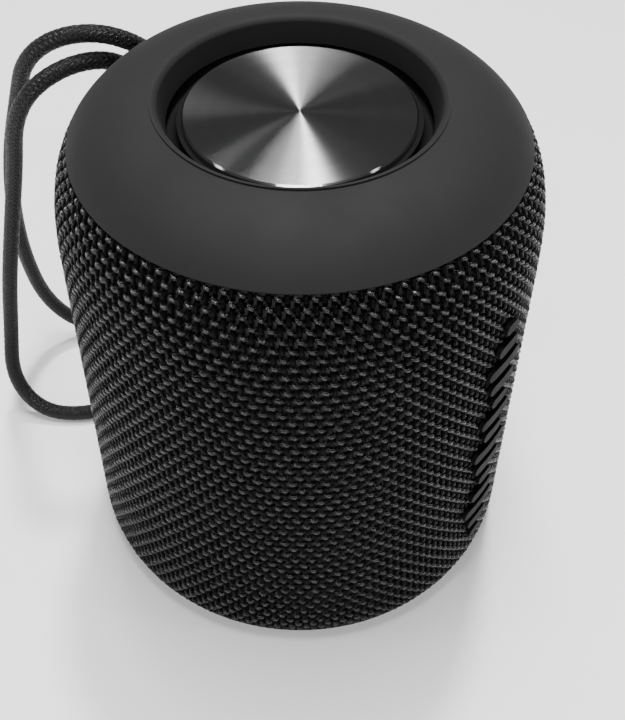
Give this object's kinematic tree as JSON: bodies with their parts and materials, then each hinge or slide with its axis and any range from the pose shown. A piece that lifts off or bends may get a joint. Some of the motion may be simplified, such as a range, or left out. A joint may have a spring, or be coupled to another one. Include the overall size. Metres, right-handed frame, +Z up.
{
  "type": "shower speaker",
  "caption": "Cylindrical knit-covered portable speaker: dark cap with recessed spun-metal radiator disc, badge bars, rear keys and port flap, base ring and braided lanyard loop.",
  "frame": {"origin": "centre of the base, on the surface it stands on", "axes": "+Z up through the radiator disc, -Y out of the badge side, +Y out of the control panel"},
  "size_m": [0.088, 0.1236, 0.1043],
  "materials": {
    "soft_touch_cap": "soft-touch matte dark grey",
    "knit_fabric": "black knitted water-repellent fabric",
    "black_plastic": "moulded matte black",
    "gloss_ring": "dark grey, polished",
    "black_rubber": "matte black rubber",
    "badge_rubber": "moulded dark grey rubber",
    "spun_metal": "spun, radial sheen",
    "steel": "zinc plated",
    "iron": "magnet and yoke",
    "copper": "enamelled winding",
    "board_green": "solder mask",
    "cell_wrap": "shrink wrap",
    "lamp": "translucent light pipe",
    "cord": "black round braid",
    "spider_cloth": "varnished cloth",
    "cone_paper": "coated paper"
  },
  "bodies": {
    "housing": {"aux_socket": "black_plastic", "badge_bars": "badge_rubber", "base_plate": "black_plastic", "base_ring": "gloss_ring", "base_screws": "steel", "battery_cell": "cell_wrap", "battery_clips": "black_plastic", "board_parts": "black_plastic", "button_board": "board_green", "chamber_lid": "black_plastic", "chamber_shell": "black_plastic", "control_panel": "black_rubber", "cord_knots": "cord", "fabric_sleeve": "knit_fabric", "foot_ring": "black_rubber", "grille_frame": "black_plastic", "lanyard_cord": "cord", "lanyard_lug": "black_plastic", "left_driver_basket": "black_plastic", "left_driver_gasket": "black_rubber", "left_driver_magnet": "iron", "left_driver_spider": "spider_cloth", "left_driver_surround": "black_rubber", "left_driver_top_plate": "steel", "left_driver_yoke": "iron", "lid_screws": "steel", "lid_seal": "black_rubber", "lower_radiator_frame": "black_plastic", "lower_radiator_surround": "black_rubber", "main_board": "board_green", "radiator_frame": "black_plastic", "radiator_surround": "black_rubber", "right_driver_basket": "black_plastic", "right_driver_gasket": "black_rubber", "right_driver_magnet": "iron", "right_driver_spider": "spider_cloth", "right_driver_surround": "black_rubber", "right_driver_top_plate": "steel", "right_driver_yoke": "iron", "status_led": "lamp", "tact_switches": "black_plastic", "top_cap": "soft_touch_cap", "usb_socket": "steel"},
    "top_radiator": {"radiator_disc": "spun_metal", "radiator_weight": "steel"},
    "lower_radiator": {"lower_radiator_plate": "spun_metal"},
    "left_diaphragm": {"left_driver_cone": "cone_paper", "left_driver_dust_cap": "cone_paper", "left_driver_voice_coil": "copper"},
    "right_diaphragm": {"right_driver_cone": "cone_paper", "right_driver_dust_cap": "cone_paper", "right_driver_voice_coil": "copper"},
    "flap": {"port_flap": "black_rubber"},
    "power_key": {"power_button": "black_rubber"},
    "pairing_key": {"pairing_button": "black_rubber"},
    "volume_up_key": {"volume_up_button": "black_rubber"},
    "play_key": {"play_button": "black_rubber"},
    "volume_down_key": {"volume_down_button": "black_rubber"}
  },
  "joints": [
    {"name": "top_radiator_stroke", "type": "slide", "parent": "housing", "child": "top_radiator", "axis": [0, 0, 1], "range_m": [-0.0015, 0.0015], "stiffness_N_per_m": 3000, "deforming": ["radiator_surround"]},
    {"name": "lower_radiator_stroke", "type": "slide", "parent": "housing", "child": "lower_radiator", "axis": [0, 0, 1], "range_m": [-0.0015, 0.0015], "stiffness_N_per_m": 1500, "deforming": ["lower_radiator_surround"]},
    {"name": "left_cone_stroke", "type": "slide", "parent": "housing", "child": "left_diaphragm", "axis": [-1, 0, 0], "range_m": [-0.0015, 0.0015], "stiffness_N_per_m": 1000, "deforming": ["left_driver_surround", "left_driver_spider"]},
    {"name": "right_cone_stroke", "type": "slide", "parent": "housing", "child": "right_diaphragm", "axis": [1, 0, 0], "range_m": [-0.0015, 0.0015], "stiffness_N_per_m": 1000, "deforming": ["right_driver_surround", "right_driver_spider"]},
    {"name": "power_press", "type": "slide", "parent": "housing", "child": "power_key", "axis": [0, -1, 0], "range_m": [0, 0.0006], "stiffness_N_per_m": 2500},
    {"name": "pairing_press", "type": "slide", "parent": "housing", "child": "pairing_key", "axis": [0, -1, 0], "range_m": [0, 0.0006], "stiffness_N_per_m": 2500},
    {"name": "volume_up_press", "type": "slide", "parent": "housing", "child": "volume_up_key", "axis": [0, -1, 0], "range_m": [0, 0.0006], "stiffness_N_per_m": 2500},
    {"name": "play_press", "type": "slide", "parent": "housing", "child": "play_key", "axis": [0, -1, 0], "range_m": [0, 0.0006], "stiffness_N_per_m": 2500},
    {"name": "volume_down_press", "type": "slide", "parent": "housing", "child": "volume_down_key", "axis": [0, -1, 0], "range_m": [0, 0.0006], "stiffness_N_per_m": 2500},
    {"name": "flap_hinge", "type": "hinge", "parent": "housing", "child": "flap", "pos_m": [0, 0.0446, 0.0139], "axis": [-1, 0, 0], "range_deg": [0, 105]}
  ]
}
